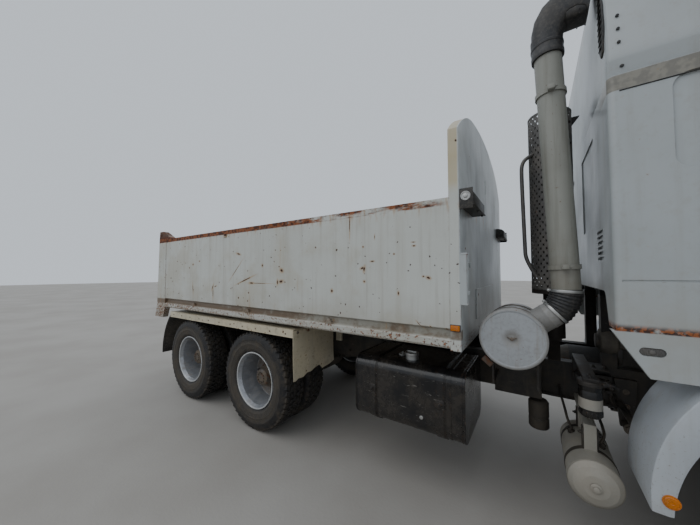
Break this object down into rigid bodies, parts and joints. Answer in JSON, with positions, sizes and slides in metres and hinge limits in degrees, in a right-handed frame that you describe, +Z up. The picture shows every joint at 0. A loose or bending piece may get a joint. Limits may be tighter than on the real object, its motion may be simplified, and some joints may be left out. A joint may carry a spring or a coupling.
{
  "type": "dump truck",
  "caption": "Cab-over tipper truck: tilting sleeper cab, steered front axle, twin-tyred tandem, hoist-raised steel tray with arched headboard and top-hung tailgate.",
  "frame": {"origin": "on the ground, midway along, across and under the truck", "axes": "+X forward, +Y to the truck's left, +Z up"},
  "size_m": [7.5, 2.9, 3.4503],
  "materials": {
    "chassis_black": "dirty satin black",
    "engine_iron": "oily cast iron",
    "tyre": "muddy rubber",
    "rim_silver": "silver paint with rusty hub",
    "tank_black": "gloss black with scuffs",
    "reservoir_grey": "weathered grey paint",
    "filter_black": "black canister",
    "cleaner_grey": "weathered pale grey",
    "duct_black": "matt rubber",
    "pipe_cream": "cream paint",
    "guard_steel": "perforated steel",
    "stack_steel": "heat-stained steel",
    "guard_white": "dirty white sheet",
    "flap_dark": "white sheet ahead, black guard behind",
    "fender_white": "white moulding, grey inside",
    "bumper_white": "white paint",
    "lamp": "clear and red lenses",
    "step_black": "black moulding",
    "tray_white": "chipped white paint with rust",
    "box_black": "dark box",
    "hoist_grey": "black barrel",
    "rod_chrome": "plated rod",
    "cab_white": "white cab paint",
    "glass": "tinted glass",
    "mirror_black": "black mirror housing",
    "seat_cloth": "grey cloth",
    "dash_plastic": "dark grey plastic"
  },
  "bodies": {
    "chassis": {"chassis_rails": "chassis_black", "cross_members": "chassis_black", "engine": "engine_iron", "driveline": "chassis_black", "drive_axles": "chassis_black", "springs": "chassis_black", "front_axle": "chassis_black", "fuel_tank": "tank_black", "battery_box": "tank_black", "air_tank": "reservoir_grey", "oil_filter": "filter_black", "air_cleaner": "cleaner_grey", "intake_ducts": "duct_black", "intake_pipe": "pipe_cream", "exhaust_guard": "guard_steel", "exhaust_stack": "stack_steel", "rear_mudguards": "guard_white", "mud_flaps": "flap_dark", "front_fenders": "fender_white", "bumper": "bumper_white", "lamps": "lamp", "steps": "step_black", "cab_mounts": "chassis_black"},
    "tie_rod": {"tie_rod": "chassis_black"},
    "steer_left": {"knuckle_left": "chassis_black"},
    "road_wheel_front_left": {"tyre_front_left": "tyre", "wheel_front_left": "rim_silver"},
    "road_wheels_fore_left": {"tyres_fore_left": "tyre", "wheels_fore_left": "rim_silver"},
    "road_wheels_aft_left": {"tyres_aft_left": "tyre", "wheels_aft_left": "rim_silver"},
    "steer_right": {"knuckle_right": "chassis_black"},
    "road_wheel_front_right": {"tyre_front_right": "tyre", "wheel_front_right": "rim_silver"},
    "road_wheels_fore_right": {"tyres_fore_right": "tyre", "wheels_fore_right": "rim_silver"},
    "road_wheels_aft_right": {"tyres_aft_right": "tyre", "wheels_aft_right": "rim_silver"},
    "tray": {"tray_floor": "tray_white", "tray_sides": "tray_white", "headboard": "tray_white", "tarp_boxes": "box_black"},
    "tail": {"tailgate": "tray_white"},
    "barrel": {"hoist_barrel": "hoist_grey"},
    "ram": {"hoist_rod": "rod_chrome"},
    "cab": {"cab_floor": "chassis_black", "cab_rear": "cab_white", "cab_sides": "cab_white", "cab_front": "cab_white", "windscreen": "glass", "cab_roof": "cab_white", "sill_panels": "cab_white", "mirrors": "mirror_black", "seats": "seat_cloth", "dashboard": "dash_plastic"},
    "side_door_left": {"door_left": "cab_white", "door_glass_left": "glass"},
    "side_door_right": {"door_right": "cab_white", "door_glass_right": "glass"}
  },
  "joints": [
    {"name": "steering_left", "type": "hinge", "parent": "chassis", "child": "steer_left", "pos_m": [2.42, 0.83, 0.518], "axis": [0, 0, 1], "range_deg": [-35, 35]},
    {"name": "steering_right", "type": "hinge", "parent": "chassis", "child": "steer_right", "pos_m": [2.42, -0.83, 0.518], "axis": [0, 0, 1], "range_deg": [-35, 35]},
    {"name": "tie_rod_slide", "type": "slide", "parent": "chassis", "child": "tie_rod", "axis": [0, -1, 0], "range_m": [-0.104, 0.104]},
    {"name": "roll_front_left", "type": "hinge", "parent": "steer_left", "child": "road_wheel_front_left", "pos_m": [2.42, 1.01, 0.518], "axis": [0, 1, 0], "continuous": true},
    {"name": "roll_fore_left", "type": "hinge", "parent": "chassis", "child": "road_wheels_fore_left", "pos_m": [-1.385, 0.9425, 0.518], "axis": [0, 1, 0], "continuous": true},
    {"name": "roll_aft_left", "type": "hinge", "parent": "chassis", "child": "road_wheels_aft_left", "pos_m": [-2.735, 0.9425, 0.518], "axis": [0, 1, 0], "continuous": true},
    {"name": "roll_front_right", "type": "hinge", "parent": "steer_right", "child": "road_wheel_front_right", "pos_m": [2.42, -1.01, 0.518], "axis": [0, 1, 0], "continuous": true},
    {"name": "roll_fore_right", "type": "hinge", "parent": "chassis", "child": "road_wheels_fore_right", "pos_m": [-1.385, -0.9425, 0.518], "axis": [0, 1, 0], "continuous": true},
    {"name": "roll_aft_right", "type": "hinge", "parent": "chassis", "child": "road_wheels_aft_right", "pos_m": [-2.735, -0.9425, 0.518], "axis": [0, 1, 0], "continuous": true},
    {"name": "tray_tip", "type": "hinge", "parent": "chassis", "child": "tray", "pos_m": [-3.38, 0, 1.075], "axis": [0, -1, 0], "range_deg": [0, 50]},
    {"name": "tailgate_swing", "type": "hinge", "parent": "tray", "child": "tail", "pos_m": [-3.59, 0, 2.2503], "axis": [0, 1, 0], "range_deg": [0, 65]},
    {"name": "hoist_swing", "type": "hinge", "parent": "chassis", "child": "barrel", "pos_m": [-1, 0, 0.79], "axis": [0, 1, 0], "range_deg": [0, 20.53]},
    {"name": "hoist_extend", "type": "slide", "parent": "barrel", "child": "ram", "axis": [-0.9778, 0, 0.2095], "range_m": [0, 0.6642]},
    {"name": "cab_tilt", "type": "hinge", "parent": "chassis", "child": "cab", "pos_m": [3.56, 0, 0.87], "axis": [0, 1, 0], "range_deg": [0, 45]},
    {"name": "door_swing_left", "type": "hinge", "parent": "cab", "child": "side_door_left", "pos_m": [3.3805, 1.259, 1.6], "axis": [0, 0, -1], "range_deg": [0, 70]},
    {"name": "door_swing_right", "type": "hinge", "parent": "cab", "child": "side_door_right", "pos_m": [3.3805, -1.259, 1.6], "axis": [0, 0, 1], "range_deg": [0, 70]}
  ],
  "couplings": [
    {"joint": "steering_right", "follows": "steering_left", "ratio": 1},
    {"joint": "tie_rod_slide", "follows": "steering_left", "m_per_rad": 0.169},
    {"joint": "hoist_swing", "follows": "tray_tip", "ratio": 0.40958},
    {"joint": "hoist_extend", "follows": "tray_tip", "m_per_rad": 0.75992}
  ]
}
